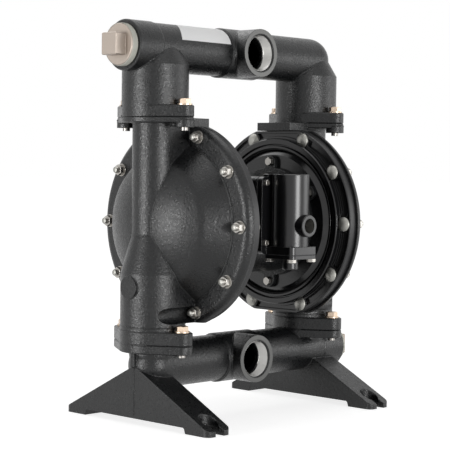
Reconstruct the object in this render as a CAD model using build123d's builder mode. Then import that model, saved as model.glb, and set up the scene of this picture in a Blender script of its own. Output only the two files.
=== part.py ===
from build123d import *
import os
from math import cos, radians, sin, sqrt

# Air operated double diaphragm pump, 2 inch, cast aluminium, all sizes in millimetres.
# X is the axis of the shaft and the diaphragms, the two ports and the air inlet look
# along -Y, and the pads of the feet stand on Z = 0 under the middle of the pump.

# ------------------------------------------------------------------ driving sizes
axis_z = 319.0            # height of the shaft
clamp_x = 127.0           # each diaphragm is clamped this far from the middle
column_reach = 57.0       # from the clamp out to the flow columns and manifold legs
lower_tube_drop = 37.0    # from the lower joint down to the axis of the lower tube
lower_joint_drop = 32.5   # from the lower flats of the rims down to the joint
upper_joint_gap = 0.5     # from the upper flats to the pads of the upper joint
upper_tube_rise = 112.0   # from the upper joint up to the axis of the upper tube

# diaphragm chambers
flange_t = 14.5
rim_round = 13.0
flat_cut = 12.5           # depth of the flats cast on the rims, top and bottom
cavity_r = 126.0
dome_draw = 20.0          # the knuckle of the dome lies this far inside the cavity
dome_knuckle_x = 53.0     # from the clamp plane
dome_crown_x = 86.5       # from the clamp plane
dome_round = 34.0
chamber_wall = 8.0
bolt_land = 26.0          # from the cavity out to the bolt circle
bolt_edge = 18.0          # from the bolt circle out to the rim
bolt_angles = (0.0, 34.7, 67.9, 112.1, 145.3, 180.0, 214.7, 247.9, 292.1, 325.3)

# flow columns on the fluid chambers
column_bore_r = 27.0
column_wall = 9.0
cage_wall = 13.0          # lower part of the column, around the inlet ball
cone_top = 17.0           # below the shaft
cone_bottom = 79.0
nut_pocket_r = 14.0       # groove in the column for the lowest nut
nut_pocket_drop = 3.0
round_base = 33.0         # up to here over the joint the column is round all the way
spot_boss_r = 18.0        # blind round boss on the column
spot_boss_drop = 99.5     # below the shaft
spot_boss_stand = 2.0

# manifold joints: an oval flange with one bolt at the front and one at the back
oval_r = 54.0
lug_r = 15.0
low_lug_r = 17.0
lug_y = 68.0
lug_boss_step = 0.6       # the round bosses under the lugs stand this far outside them
flange_edge = 1.2         # edge break cast on the flanges
manifold_flange_t = 18.5
suction_flange_t = 14.0
suction_neck_r = 38.2
joint_relief = 1.0        # the tube is cut flat this far outside the lower joint face
elbow_rib = 8.0           # rib on the outside of the closed lower elbow
elbow_rib_stand = 5.0
top_flange_t = 16.5       # at the lugs
top_plate_t = 9.0         # between the lugs
bottom_flange_t = 21.0
base_collar_r = 53.6       # collar around the foot of the column
base_collar_t = 27.0
top_pad_x = 99.0          # inner end of the rectangular pad on the upper flange
top_pad_y = 38.0
top_pad_t = 14.0

# manifold tubes
tube_bore_r = 31.0
tube_wall = 8.0
plug_wall = 7.6
plug_boss_length = 52.0
plug_reach = 69.0         # from the leg out to the end of the boss
port_face_y = 60.0
port_wall = 9.7
belly_rise = 2.5          # band of the tube around the port boss
belly_half = 42.0
belly_slope = 3.0
port_r = 30.1             # wall of the 2 inch pipe thread
port_depth = 23.0
port_bore_r = 27.5
port_chamfer = 2.0
leg_wall = 14.0
leg_crease_drop = 28.0    # the leg starts to taper this far under the upper tube
leg_taper = 26.0

# feet, cast in one with the lower manifold
foot_inset = 12.0         # inner face of a foot, from the middle of its leg
foot_width = 52.0
foot_tip_y = 168.0
foot_tip_t = 8.0
foot_apex_rise = 2.0      # over the axis of the tube
foot_pad_y = 118.0
foot_web_z = 9.0
foot_tip_round = 11.0
foot_wall = 7.0
foot_slot_y = 143.0
foot_slot_r = 9.0
foot_spot_r = 16.0
foot_spot_z = 10.0

# check balls, their seats and cages
ball_r = 25.4
ball_gap = 0.3
ball_lift = 16.0
cage_bore_r = 40.0
guide_gap = 0.6
rib_t = 6.0
stop_r = 9.0              # inner end of the ribs over the ball
stop_t = 9.0
seat_r = 38.0
seat_bore_r = 20.0
seat_below = 4.0          # how far the seat sinks into the part under the joint
seat_above = 10.0
seat_chamfer = 4.0
seat_gap = 0.1
ring_t = 4.2              # sealing ring around each seat
ring_gap = 0.1

# air chambers
air_rim_step = 4.0        # the rim is this much smaller than the fluid chamber's
air_flange_t = 16.0
air_open_r = 80.0
air_seat_x = 28.0         # the centre block lies against a face this far inside the clamp
air_web_t = 7.0
air_ring_x = 26.0         # crest of the two rings, inside the clamp
ring_inset = 7.5          # inside the bolt circle
ring_width = 9.5
ring_groove = 4.0
fine_ring_width = 3.5
groove_x = 20.0
bowl_slope = 10.0
pocket_inset = 3.5        # inside the bolt circle
pocket_width = 11.5
pocket_depth = 5.0
pocket_land_r = 14.5      # full thickness kept around each bolt

# centre block
drum_r = 86.0
end_flange_r = 94.0
end_flange_t = 8.0
block_recess_r = 76.0
block_core_x = 60.0       # half length of the solid middle
ear_r = 11.0
ear_circle_r = 104.0
ear_count = 6
pad_half = 44.0           # flat pads, front and back
pad_y = 96.0
pad_top = 79.0            # above the shaft
pad_corner = 8.0

# main air valve
valve_y = 131.5
valve_wall = 10.0
valve_top = 83.5          # above the shaft
valve_bottom = 47.5       # below the shaft
valve_plate_t = 10.0
valve_gasket_t = 1.0
valve_gasket_inset = 1.0  # the gasket is this much smaller than the pad all round
valve_gasket_band = 19.0
valve_bore_r = 20.0
valve_bore_top = 71.0     # above the shaft
valve_flange_half = 32.0
valve_flange_t = 13.0
valve_flange_round = 9.0
inlet_wall = 6.1
inlet_bore_r = 11.9       # wall of the 3/4 inch pipe thread
inlet_depth = 20.0
inlet_throat_r = 9.5
inlet_reach = 40.5        # from the middle of the valve to the mouth
cap_gasket_t = 1.0
cap_t = 6.0
cap_boss_r = 13.0
cap_boss_t = 18.0
cap_bolt_half = 24.0
sleeve_gap = 0.05
sleeve_bore_r = 13.0
spool_gap = 0.05
spool_travel = 12.0
sleeve_port_r = 4.0
sleeve_port_pitch = 28.0
spool_length = 84.0
spool_land_t = 14.0
spool_neck_r = 7.0

# shaft, diaphragms and pilot rod
stroke = 30.0             # shaft travel each way
shaft_r = 12.5
shaft_gap = 0.06
stud_gap = 0.1
stud_hole = 40.0
bush_r = 20.0
bush_length = 16.0
seal_t = 5.0
plate_r = 70.0
inner_plate_t = 12.0
outer_plate_t = 14.0
plate_hub_r = 26.0
diaphragm_t = 4.0
diaphragm_inset = 9.0     # inside the bolt circle
diaphragm_edge_gap = 0.3
convolution = 15.0
end_bolt_r = 8.0
end_bolt_length = 55.0
end_bolt_af = 24.0
end_bolt_head = 10.0
pilot_r = 5.0
pilot_z = 36.0            # above the shaft
pilot_travel = 6.0
pilot_end_gap = 0.4       # left to the plate at the end of the stroke
pilot_bush_r = 9.0
pilot_bush_length = 18.0

# exhaust silencer
silencer_r = 28.0
silencer_length = 76.0
silencer_neck_r = 16.0
silencer_neck_t = 10.0
silencer_slots = 16

# fasteners: M10 on the chambers, M12 on the manifolds, M8 and M6 on the air side
m10_r = 5.0
m10_af = 16.0
m10_nut_t = 8.4
m10_washer_r = 10.5
m10_washer_t = 2.0
m10_head_r = 12.3
m10_head_t = 6.6
m10_head_round = 5.5
m10_tip = 6.0
m12_r = 6.0
m12_af = 18.0
m12_head_t = 8.0
m12_washer_r = 12.0
m12_washer_t = 2.4
m12_tip = 5.0
m8_r = 4.0
m8_af = 13.0
m8_head_t = 5.5
m6_r = 3.0
m6_head_r = 5.0
m6_head_t = 6.0
m6_socket_af = 5.0
valve_screw_x = 35.8
valve_screw_low = 29.0    # below the shaft
valve_screw_high = 69.0   # above the shaft
valve_screw_depth = 15.0
hole_gap = 0.4
thread_gap = 0.05

# pipe plugs
plug_r = 32.9
plug_thread = 22.0
plug_stand = 12.0         # thread left showing outside the boss
plug_square = 35.0
plug_square_t = 19.5

# ------------------------------------------------------------------ worked out
bolt_circle_r = cavity_r + bolt_land
flange_r = bolt_circle_r + bolt_edge
flat_half = flange_r - flat_cut
dome_base_r = cavity_r + chamber_wall
dome_knuckle_r = cavity_r - dome_draw
air_flange_r = flange_r - air_rim_step
ring_out_r = bolt_circle_r - ring_inset
ring_in_r = ring_out_r - ring_width
fine_ring_out_r = ring_in_r - ring_groove
fine_ring_in_r = fine_ring_out_r - fine_ring_width
bowl_floor_r = cavity_r - bowl_slope
pocket_in_r = bolt_circle_r - pocket_inset
pocket_out_r = pocket_in_r + pocket_width
diaphragm_r = bolt_circle_r - diaphragm_inset

column_x = clamp_x + column_reach
column_r = column_bore_r + column_wall
cage_r = cage_bore_r + cage_wall
leg_r = cage_bore_r + leg_wall
tube_r = tube_bore_r + tube_wall
belly_r = tube_r + belly_rise
plug_boss_r = plug_r + plug_wall
plug_boss_x = column_x + plug_reach
port_boss_r = port_r + port_wall
discharge_joint_z = axis_z + flat_half + upper_joint_gap + top_pad_t
discharge_z = discharge_joint_z + upper_tube_rise
leg_crease_z = discharge_z - leg_crease_drop
leg_cone_z = leg_crease_z + leg_taper
suction_joint_z = axis_z - flat_half - lower_joint_drop
suction_z = suction_joint_z - lower_tube_drop
cone_top_z = axis_z - cone_top
cone_bottom_z = axis_z - cone_bottom
round_base_z = suction_joint_z + round_base
base_collar_z = suction_joint_z + base_collar_t
spot_boss_z = axis_z - spot_boss_drop
foot_inner_x = column_x - foot_inset
foot_outer_x = foot_inner_x + foot_width
foot_apex_z = suction_z + foot_apex_rise

air_face_x = clamp_x - air_flange_t
nut_face_x = clamp_x + flange_t
seat_face_x = clamp_x - air_seat_x
block_pad_face_y = -pad_y
gasket_face_y = block_pad_face_y - valve_gasket_t
pad_top_z = axis_z + pad_top
valve_top_z = axis_z + valve_top
valve_bottom_z = axis_z - valve_bottom
valve_bore_top_z = axis_z + valve_bore_top
valve_r = valve_bore_r + valve_wall
inlet_r = inlet_bore_r + inlet_wall
inlet_face_y = valve_y + inlet_reach
sleeve_r = valve_bore_r - sleeve_gap
pad_bottom_z = valve_bottom_z
shaft_half = clamp_x - diaphragm_t / 2 - inner_plate_t
pilot_half = shaft_half - stroke + pilot_travel - pilot_end_gap
silencer_end_y = pad_y + silencer_length
ball_rise = -seat_chamfer + sqrt(ball_r ** 2 - seat_bore_r ** 2) + ball_gap
rib_foot = seat_above + 4.0


def stop_height():
    "Height of the rib ends over the seat's joint, where they catch the lifted ball."
    top_of_travel = seat_above + ball_rise + ball_lift
    return top_of_travel + sqrt(ball_r ** 2 - stop_r ** 2) + ball_gap


def axis_plane(x=0.0, z=axis_z):
    "Upright plane through the shaft axis: local x runs along X and local y is a radius."
    return Plane(origin=(x, 0, z), x_dir=(1, 0, 0), z_dir=(0, -1, 0))


def cross_plane(x, z=axis_z):
    "Plane square to the shaft at x: local x runs along Y, local y runs up, normal along +X."
    return Plane(origin=(x, 0, z), x_dir=(0, 1, 0), z_dir=(1, 0, 0))


def front_plane(y, x=0.0, z=axis_z):
    "Plane seen from the front at y, with its normal along -Y."
    return Plane(origin=(x, y, z), x_dir=(1, 0, 0), z_dir=(0, -1, 0))


shaft_axis = Axis((0, 0, axis_z), (1, 0, 0))
chamber_bolts = [
    (bolt_circle_r * cos(radians(a)), bolt_circle_r * sin(radians(a))) for a in bolt_angles
]
ear_points = [
    (ear_circle_r * cos(radians(90 + 360 * k / ear_count)),
     ear_circle_r * sin(radians(90 + 360 * k / ear_count)))
    for k in range(ear_count)
]
lug_points = [(column_x, -lug_y), (column_x, lug_y)]
pocket_points = [
    (y, z - nut_pocket_drop) for y, z in chamber_bolts if abs(y) < cage_r + nut_pocket_r and z < 0
]
valve_screw_points = [
    (x, z)
    for x in (-valve_screw_x, valve_screw_x)
    for z in (axis_z - valve_screw_low, axis_z + valve_screw_high)
]


def write(piece, name):
    "Label one finished piece and write its STEP file."
    piece.label = name
    export_step(piece, f"parts/{name}.step")


def write_pair(right, name):
    "Write a piece of the right side and its mirror image on the left."
    write(right.part, f"{name}_right")
    with BuildPart() as left:
        mirror(right.part, about=Plane.YZ)
    write(left.part, f"{name}_left")


def oval(end_r):
    "Outline of a manifold joint: the round column with a lug in front and one behind."
    with BuildSketch(mode=Mode.PRIVATE) as rounds:
        with Locations((column_x, 0)):
            Circle(oval_r)
        with Locations(*lug_points):
            Circle(end_r)
    with BuildSketch(mode=Mode.PRIVATE) as outline:
        make_hull(rounds.sketch.edges())
    return outline.sketch


def joint_flange(joint_z, plate_t, lug_t, end_r):
    "Oval flange on a joint face, upward or (with negative sizes) downward, thicker at its lugs."
    with BuildPart(mode=Mode.PRIVATE) as flange:
        with BuildSketch(Plane.XY.offset(joint_z)):
            add(oval(end_r))
        extrude(amount=plate_t)
        ends = flange.faces().filter_by(Axis.Z)
        chamfer(ends[0].edges() + ends[1].edges(), flange_edge)
        if abs(lug_t) > abs(plate_t):
            with BuildSketch(Plane.XY.offset(joint_z + plate_t / 2)):
                with Locations(*lug_points):
                    Circle(end_r + lug_boss_step)
            extrude(amount=lug_t - plate_t / 2)
    return flange.part


def stadium(radius, inner_x):
    "Plan of a flow column: round outside, with straight flanks that run in to the flange."
    with BuildSketch() as outline:
        with Locations((column_x, 0)):
            Circle(radius)
        with Locations(((inner_x + column_x) / 2, 0)):
            Rectangle(column_x - inner_x, 2 * radius)
    return outline.sketch


def cage_ribs(joint_z):
    "Four ribs that guide a check ball and close in over it as its stop."
    with BuildPart() as ribs:
        for turn in (45, 135, 225, 315):
            c, s = cos(radians(turn)), sin(radians(turn))
            with BuildSketch(Plane(origin=(column_x, 0, joint_z), x_dir=(c, s, 0), z_dir=(s, -c, 0))):
                with BuildLine():
                    Polyline(
                        (cage_bore_r + 2, rib_foot), (ball_r + guide_gap, rib_foot),
                        (ball_r + guide_gap, stop_height()), (stop_r, stop_height()),
                        (stop_r, stop_height() + stop_t), (cage_bore_r + 2, stop_height() + stop_t),
                        close=True,
                    )
                make_face()
            extrude(amount=rib_t / 2, both=True)
    return ribs.part


def seat_room(joint_z):
    "Room for one ball seat and its sealing ring, to be cut from the parts at a joint."
    with BuildPart() as room:
        with BuildSketch(Plane.XY.offset(joint_z - seat_below)):
            with Locations((column_x, 0)):
                Circle(seat_r + seat_gap)
        extrude(amount=seat_below + seat_above)
        with BuildSketch(Plane.XY.offset(joint_z)):
            with Locations((column_x, 0)):
                Circle(seat_r + ring_t + 2 * ring_gap)
        extrude(amount=ring_t + ring_gap)
    return room.part


def hex_solid(radius_flats, height):
    "A hexagon head or nut standing on the XY plane, with its corners turned off."
    with BuildPart() as solid:
        with BuildSketch():
            RegularPolygon(radius_flats / 2, 6, major_radius=False)
        extrude(amount=height)
        with BuildSketch(axis_plane(z=0)):
            with BuildLine():
                Polyline(
                    (0, 0), (radius_flats * 0.6, 0), (radius_flats * 0.6, height - 0.08 * radius_flats),
                    (radius_flats * 0.48, height), (0, height), close=True,
                )
            make_face()
        revolve(axis=Axis.Z, mode=Mode.INTERSECT)
    return solid.part


def hex_bolt(radius, flats, head, length, washer_r=0.0, washer_t=0.0):
    "A hexagon bolt along Z: the shank hangs below the origin, the head stands on the washer."
    with BuildPart() as bolt:
        with BuildSketch(Plane.XY.offset(-length)):
            Circle(radius)
        extrude(amount=length + washer_t)
        if washer_t > 0:
            with BuildSketch():
                Circle(washer_r)
            extrude(amount=washer_t)
        add(hex_solid(flats, head).moved(Location((0, 0, washer_t))))
    return bolt.part


def group(pieces):
    "Several equal fasteners as one node of separate solids."
    return Compound(children=list(pieces))


os.makedirs("parts", exist_ok=True)

# ------------------------------------------------------------------ fluid chambers


def dome_face(base_r, base_x, knuckle_r, knuckle_x, crown_x, start_x):
    "Half section of the dome: steep flank, rounded knuckle and a shallow crown."
    with BuildSketch() as section:
        with BuildLine():
            Polyline((start_x, 0), (start_x, base_r), (base_x, base_r), (knuckle_x, knuckle_r))
            TangentArc((crown_x, 0), (knuckle_x, knuckle_r), tangent=(0, 1))
            Line((crown_x, 0), (start_x, 0))
        make_face()
        fillet(section.vertices().sort_by_distance((knuckle_x, knuckle_r, 0))[0], dome_round)
    return section.sketch


chamber_ribs = cage_ribs(suction_joint_z)
chamber_seat_low = seat_room(suction_joint_z)
chamber_seat_high = seat_room(discharge_joint_z)

with BuildPart() as outer_chamber:
    with BuildSketch(axis_plane()):
        add(dome_face(dome_base_r, nut_face_x, dome_knuckle_r, clamp_x + dome_knuckle_x,
                      clamp_x + dome_crown_x, clamp_x))
    revolve(axis=shaft_axis)
    with BuildSketch(axis_plane()) as rim:
        with BuildLine():
            Polyline((clamp_x, 0), (clamp_x, flange_r), (nut_face_x, flange_r), (nut_face_x, 0),
                     close=True)
        make_face()
        fillet(rim.vertices().sort_by_distance((nut_face_x, flange_r, 0))[0], rim_round)
    revolve(axis=shaft_axis)
    with Locations((clamp_x + flange_t / 2, 0, axis_z)):
        Box(4 * dome_crown_x, 3 * flange_r, 2 * flat_half, mode=Mode.INTERSECT)
    with BuildSketch(Plane.XY.offset(cone_top_z)):
        add(stadium(column_r, clamp_x + 3))
    extrude(amount=discharge_joint_z - top_flange_t / 2 - cone_top_z)
    with BuildSketch(Plane.XY.offset(cone_bottom_z)):
        add(stadium(cage_r, clamp_x + 3))
    with BuildSketch(Plane.XY.offset(cone_top_z)):
        add(stadium(column_r, clamp_x + 3))
    loft()
    with BuildSketch(Plane.XY.offset(round_base_z)):
        add(stadium(cage_r, clamp_x + 3))
    extrude(amount=cone_bottom_z - round_base_z)
    with BuildSketch(Plane.XY.offset(suction_joint_z)):
        with Locations((column_x, 0)):
            Circle(cage_r)
    extrude(amount=cone_bottom_z - suction_joint_z)
    add(joint_flange(suction_joint_z, bottom_flange_t, bottom_flange_t, low_lug_r))
    with BuildSketch(Plane.XY.offset(suction_joint_z + flange_edge)):
        with Locations((column_x, 0)):
            Circle(base_collar_r)
    extrude(amount=base_collar_z - suction_joint_z - flange_edge)
    add(joint_flange(discharge_joint_z, -top_plate_t, -top_flange_t, lug_r))
    with BuildSketch(Plane.XY.offset(discharge_joint_z - top_pad_t)):
        with Locations(((top_pad_x + column_x) / 2, 0)):
            Rectangle(column_x - top_pad_x, 2 * top_pad_y)
    extrude(amount=top_pad_t)
    with BuildSketch(cross_plane(column_x, spot_boss_z)):
        Circle(spot_boss_r)
    extrude(amount=cage_r + spot_boss_stand)
    with BuildSketch(axis_plane()):
        add(dome_face(cavity_r, nut_face_x, dome_knuckle_r - chamber_wall + 2,
                      clamp_x + dome_knuckle_x - chamber_wall, clamp_x + dome_crown_x - chamber_wall,
                      clamp_x))
    revolve(axis=shaft_axis, mode=Mode.SUBTRACT)
    with BuildSketch(Plane.XY.offset(axis_z)):
        with Locations((column_x, 0)):
            Circle(column_bore_r)
    extrude(amount=discharge_joint_z - axis_z, mode=Mode.SUBTRACT)
    with BuildSketch(Plane.XY.offset(suction_joint_z)):
        with Locations((column_x, 0)):
            Circle(cage_bore_r)
    extrude(amount=stop_height() + stop_t, mode=Mode.SUBTRACT)
    with BuildSketch(Plane.XY.offset(suction_joint_z + stop_height())):
        with Locations((column_x, 0)):
            Circle(column_bore_r)
    extrude(amount=axis_z - suction_joint_z - stop_height(), mode=Mode.SUBTRACT)
    add(chamber_ribs)
    add(chamber_seat_low, mode=Mode.SUBTRACT)
    add(chamber_seat_high, mode=Mode.SUBTRACT)
    with BuildSketch(cross_plane(nut_face_x)):
        with Locations(*pocket_points):
            Circle(nut_pocket_r)
    extrude(amount=3 * cage_r, mode=Mode.SUBTRACT)
    with BuildSketch(cross_plane(clamp_x)):
        Circle(diaphragm_r + diaphragm_edge_gap)
    extrude(amount=diaphragm_t / 2, mode=Mode.SUBTRACT)
    with BuildSketch(cross_plane(clamp_x)):
        with Locations(*chamber_bolts):
            Circle(m10_r + hole_gap)
    extrude(amount=flange_t, mode=Mode.SUBTRACT)
    with BuildSketch(Plane.XY.offset(suction_joint_z)):
        with Locations(*lug_points):
            Circle(m12_r + hole_gap)
    extrude(amount=bottom_flange_t, mode=Mode.SUBTRACT)
    with BuildSketch(Plane.XY.offset(discharge_joint_z - top_flange_t)):
        with Locations(*lug_points):
            Circle(m12_r + thread_gap)
    extrude(amount=top_flange_t, mode=Mode.SUBTRACT)
write_pair(outer_chamber, "outer_chamber")

# ------------------------------------------------------------------ manifolds


def manifold_passages(tube_z, end_x):
    "Fluid passages of a manifold: the cross tube, the port and the plug thread."
    side = 1 if end_x > 0 else -1
    with BuildPart() as core:
        with BuildSketch(cross_plane(0, tube_z)):
            Circle(tube_bore_r)
        extrude(amount=column_x, both=True)
        with BuildSketch(cross_plane(0, tube_z)):
            Circle(tube_bore_r - 3)
        extrude(amount=end_x)
        with BuildSketch(cross_plane(end_x, tube_z)):
            Circle(plug_r + thread_gap)
        extrude(amount=-side * (plug_thread + 1))
        with BuildSketch(front_plane(-port_face_y, 0, tube_z)):
            Circle(port_r)
        extrude(amount=-port_depth)
        with BuildSketch(front_plane(-port_face_y, 0, tube_z)):
            Circle(port_bore_r)
        extrude(amount=-port_face_y)
        with BuildSketch(front_plane(-port_face_y, 0, tube_z)):
            Circle(port_r + port_chamfer)
        extrude(amount=-port_chamfer, taper=45)
    return core.part


def leg_core(tube_z, joint_z, shoulder):
    "Passage up or down one leg: the ball cage, a shoulder and a round turn into the tube."
    up = 1 if tube_z > joint_z else -1
    with BuildPart() as core:
        with BuildSketch(axis_plane(column_x, 0)):
            with BuildLine():
                Polyline((0, joint_z), *shoulder, (tube_bore_r, tube_z))
                RadiusArc((tube_bore_r, tube_z), (0, tube_z + up * tube_bore_r), -up * tube_bore_r)
                Line((0, tube_z + up * tube_bore_r), (0, joint_z))
            make_face()
        revolve(axis=Axis((column_x, 0, 0), (0, 0, 1)))
    return core.part


def rounded_tube(tube_z, end_x):
    "The cross tube with its closed round end, the end boss for the plug and the port boss."
    side = 1 if end_x > 0 else -1
    with BuildPart() as tube:
        with BuildSketch(axis_plane(0, tube_z)):
            with BuildLine():
                Line((side * plug_boss_x, 0), (-side * (column_x + tube_r), 0))
                ThreePointArc(
                    (-side * (column_x + tube_r), 0),
                    (-side * (column_x + tube_r * cos(radians(45))), tube_r * sin(radians(45))),
                    (-side * column_x, tube_r),
                )
                Polyline(
                    (-side * column_x, tube_r), (side * (plug_boss_x - plug_boss_length), tube_r),
                    (side * (plug_boss_x - plug_boss_length + 3), plug_boss_r),
                    (side * (plug_boss_x - 1.5), plug_boss_r),
                    (side * plug_boss_x, plug_boss_r - 1.5), (side * plug_boss_x, 0),
                )
            make_face()
        revolve(axis=Axis((0, 0, tube_z), (1, 0, 0)))
        with BuildSketch(axis_plane(0, tube_z)):
            with BuildLine():
                Polyline((-belly_half - belly_slope, tube_bore_r),
                         (-belly_half - belly_slope, tube_r - 0.5), (-belly_half, belly_r),
                         (belly_half, belly_r), (belly_half + belly_slope, tube_r - 0.5),
                         (belly_half + belly_slope, tube_bore_r), close=True)
            make_face()
        revolve(axis=Axis((0, 0, tube_z), (1, 0, 0)))
        with BuildSketch(front_plane(-port_face_y, 0, tube_z)):
            Circle(port_boss_r)
        extrude(amount=-port_face_y)
    return tube.part


# upper manifold: plug on the left, closed elbow on the right
upper_tube = rounded_tube(discharge_z, -plug_boss_x)
upper_core = manifold_passages(discharge_z, -plug_boss_x)
upper_leg_core = leg_core(discharge_z, discharge_joint_z, [
    (cage_bore_r, discharge_joint_z), (cage_bore_r, leg_crease_z), (tube_bore_r, leg_crease_z + 21),
])
upper_ribs = cage_ribs(discharge_joint_z)
upper_seat = seat_room(discharge_joint_z)

with BuildPart() as upper_leg:
    with BuildSketch(axis_plane(column_x, 0)):
        with BuildLine():
            Polyline((0, discharge_joint_z), (leg_r, discharge_joint_z), (leg_r, leg_crease_z),
                     (tube_r, leg_cone_z), (tube_r, discharge_z), (0, discharge_z), close=True)
        make_face()
    revolve(axis=Axis((column_x, 0, 0), (0, 0, 1)))
    add(joint_flange(discharge_joint_z, manifold_flange_t, manifold_flange_t, lug_r))

with BuildPart() as upper_leg_voids:
    add(upper_leg_core)
    add(upper_ribs, mode=Mode.SUBTRACT)
    add(upper_seat)
    with BuildSketch(Plane.XY.offset(discharge_joint_z)):
        with Locations(*lug_points):
            Circle(m12_r + hole_gap)
    extrude(amount=manifold_flange_t)

with BuildPart() as discharge_manifold:
    add(upper_tube)
    add(upper_leg.part)
    mirror(upper_leg.part, about=Plane.YZ)
    add(upper_core, mode=Mode.SUBTRACT)
    add(upper_leg_voids.part, mode=Mode.SUBTRACT)
    mirror(upper_leg_voids.part, about=Plane.YZ, mode=Mode.SUBTRACT)
write(discharge_manifold.part, "discharge_manifold")

# lower manifold: closed elbow on the left, plug on the right, a foot under each end
lower_tube = rounded_tube(suction_z, plug_boss_x)
lower_core = manifold_passages(suction_z, plug_boss_x)

with BuildPart() as foot:
    with BuildSketch(cross_plane(foot_inner_x, 0)) as profile:
        with BuildLine():
            Polyline(
                (-foot_tip_y, 0), (-foot_tip_y, foot_tip_t), (0, foot_apex_z), (foot_tip_y, foot_tip_t),
                (foot_tip_y, 0), (foot_pad_y, 0), (foot_pad_y - 3, foot_web_z),
                (-foot_pad_y + 3, foot_web_z), (-foot_pad_y, 0), close=True,
            )
        make_face()
    extrude(amount=foot_outer_x - foot_inner_x)
    fillet(foot.edges().filter_by(Axis.Z).group_by(lambda e: abs(e.center().Y))[-1], foot_tip_round)
    with BuildSketch(cross_plane(foot_inner_x + foot_wall, 0)):
        with BuildLine():
            Polyline((-foot_pad_y + foot_wall, 0), (0, foot_apex_z - 2 * foot_wall),
                     (foot_pad_y - foot_wall, 0), close=True)
        make_face()
    extrude(amount=foot_outer_x - foot_inner_x - 2 * foot_wall, mode=Mode.SUBTRACT)
    with BuildSketch(Plane.XY.offset(foot_spot_z)):
        with Locations(*[((foot_inner_x + foot_outer_x) / 2, s * foot_slot_y) for s in (-1, 1)]):
            Circle(foot_spot_r)
    extrude(amount=foot_apex_z, mode=Mode.SUBTRACT)
    with BuildSketch():
        for s in (-1, 1):
            with Locations(((foot_inner_x + foot_outer_x) / 2, s * foot_slot_y)):
                Circle(foot_slot_r)
            with Locations(((foot_inner_x + foot_outer_x) / 2, s * (foot_slot_y + foot_tip_y) / 2)):
                Rectangle(2 * foot_slot_r, foot_tip_y - foot_slot_y + 0.1)
    extrude(amount=foot_apex_z, mode=Mode.SUBTRACT)

with BuildPart() as lower_leg:
    with BuildSketch(axis_plane(column_x, 0)):
        with BuildLine():
            Polyline((0, suction_joint_z), (suction_neck_r, suction_joint_z),
                     (suction_neck_r, suction_z + 18), (suction_neck_r - 4, suction_z - 8),
                     (0, suction_z - 8), close=True)
        make_face()
    revolve(axis=Axis((column_x, 0, 0), (0, 0, 1)))
    add(joint_flange(suction_joint_z, -suction_flange_t, -suction_flange_t, low_lug_r))
    add(foot.part)

with BuildPart() as lower_leg_voids:
    add(leg_core(suction_z, suction_joint_z, [(tube_bore_r, suction_joint_z)]))
    add(seat_room(suction_joint_z))
    with BuildSketch(Plane.XY.offset(suction_joint_z - suction_flange_t)):
        with Locations(*lug_points):
            Circle(m12_r + thread_gap)
    extrude(amount=suction_flange_t)

with BuildPart() as suction_manifold:
    add(lower_tube)
    with BuildSketch(Plane.XY.offset(suction_z)):
        with Locations((elbow_rib / 2 - column_x - tube_r - elbow_rib_stand, 0)):
            Rectangle(elbow_rib, elbow_rib)
    extrude(amount=suction_joint_z - suction_flange_t / 2 - suction_z)
    add(lower_leg.part)
    mirror(lower_leg.part, about=Plane.YZ)
    with BuildSketch(Plane.XY.offset(suction_joint_z)):
        with Locations((-column_x, 0), (column_x, 0)):
            Circle(oval_r + joint_relief)
    extrude(amount=tube_r, mode=Mode.SUBTRACT)
    add(lower_core, mode=Mode.SUBTRACT)
    add(lower_leg_voids.part, mode=Mode.SUBTRACT)
    mirror(lower_leg_voids.part, about=Plane.YZ, mode=Mode.SUBTRACT)
write(suction_manifold.part, "suction_manifold")

# ------------------------------------------------------------------ pipe plugs
with BuildPart() as plug:
    with BuildSketch(cross_plane(plug_boss_x - plug_thread, 0)):
        Circle(plug_r)
    extrude(amount=plug_thread + plug_stand)
    chamfer(plug.edges().sort_by(Axis.X)[-1], 1.5)
    with BuildSketch(cross_plane(plug_boss_x + plug_stand, 0)):
        RectangleRounded(plug_square, plug_square, 2.5)
    extrude(amount=plug_square_t)
    chamfer(plug.faces().sort_by(Axis.X)[-1].edges(), 1.2)
write(plug.part.moved(Location((0, 0, suction_z))), "suction_plug")
with BuildPart() as upper_plug:
    mirror(plug.part, about=Plane.YZ)
write(upper_plug.part.moved(Location((0, 0, discharge_z))), "discharge_plug")

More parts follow.
